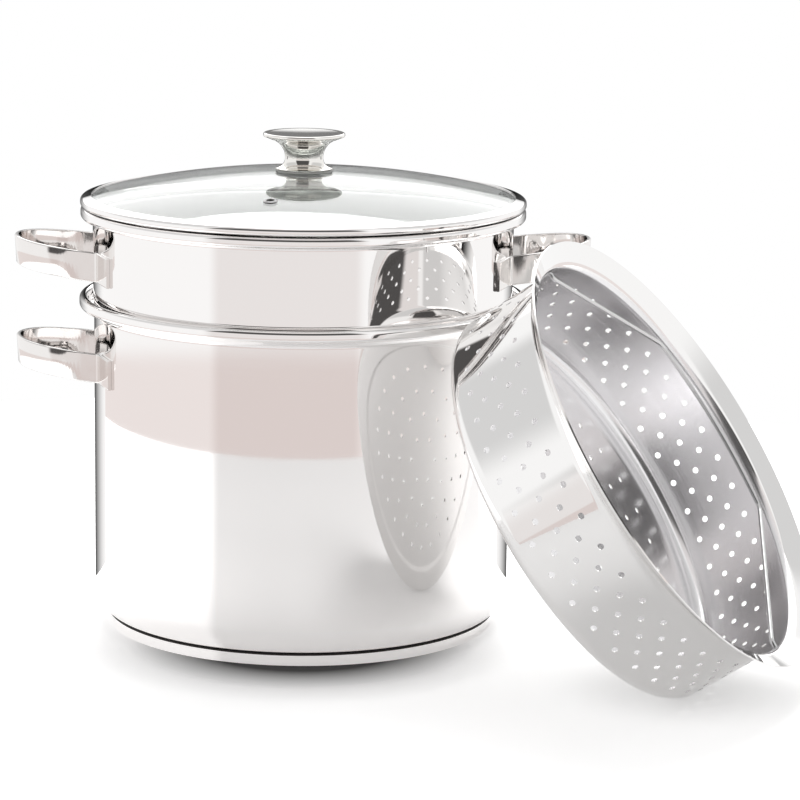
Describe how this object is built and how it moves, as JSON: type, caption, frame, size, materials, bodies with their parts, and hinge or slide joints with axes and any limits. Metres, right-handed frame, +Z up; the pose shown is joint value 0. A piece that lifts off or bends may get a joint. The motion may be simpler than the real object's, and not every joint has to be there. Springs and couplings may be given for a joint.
{
  "type": "pasta pot",
  "caption": "Tall polished steel pot with loop handles, a deep perforated insert with its own handles, a domed glass lid with a waisted knob, and a leaning steamer basket with a wire handle.",
  "frame": {"origin": "centre of the pot's underside, on the surface it stands on", "axes": "+Z up, along the pot's axis; the loop handles point along +X and -X; the basket leans at +X -Y, towards the picture's camera"},
  "size_m": [0.4542, 0.4051, 0.2852],
  "materials": {
    "polished_steel": "mirror polished stainless sheet",
    "handle_steel": "polished stainless strap",
    "knob_steel": "polished stainless, turned",
    "wire_steel": "bright drawn stainless wire",
    "fastener_steel": "plain stainless",
    "core_aluminium": "plain disc, closed in",
    "tempered_glass": "clear domed glass",
    "silicone": "translucent grey silicone"
  },
  "bodies": {
    "root": {"pot_body": "polished_steel", "insert_body": "polished_steel", "base_cap": "polished_steel", "base_core": "core_aluminium", "pot_handle_left": "handle_steel", "pot_handle_right": "handle_steel", "insert_handle_left": "handle_steel", "insert_handle_right": "handle_steel", "lid_glass": "tempered_glass", "lid_rim": "polished_steel", "vent_grommet": "polished_steel", "knob_stem": "knob_steel", "knob_top": "knob_steel", "knob_gasket": "silicone", "screw_gasket": "silicone", "screw_washer": "fastener_steel", "knob_screw": "fastener_steel", "steamer_body": "polished_steel"},
    "bail": {"steamer_bail": "wire_steel"}
  },
  "joints": [
    {"name": "bail_swing", "type": "hinge", "parent": "root", "child": "bail", "pos_m": [0.19471, -0.14889, 0.12672], "axis": [0.5196, -0.2068, -0.829], "range_deg": [-28, 208]}
  ]
}
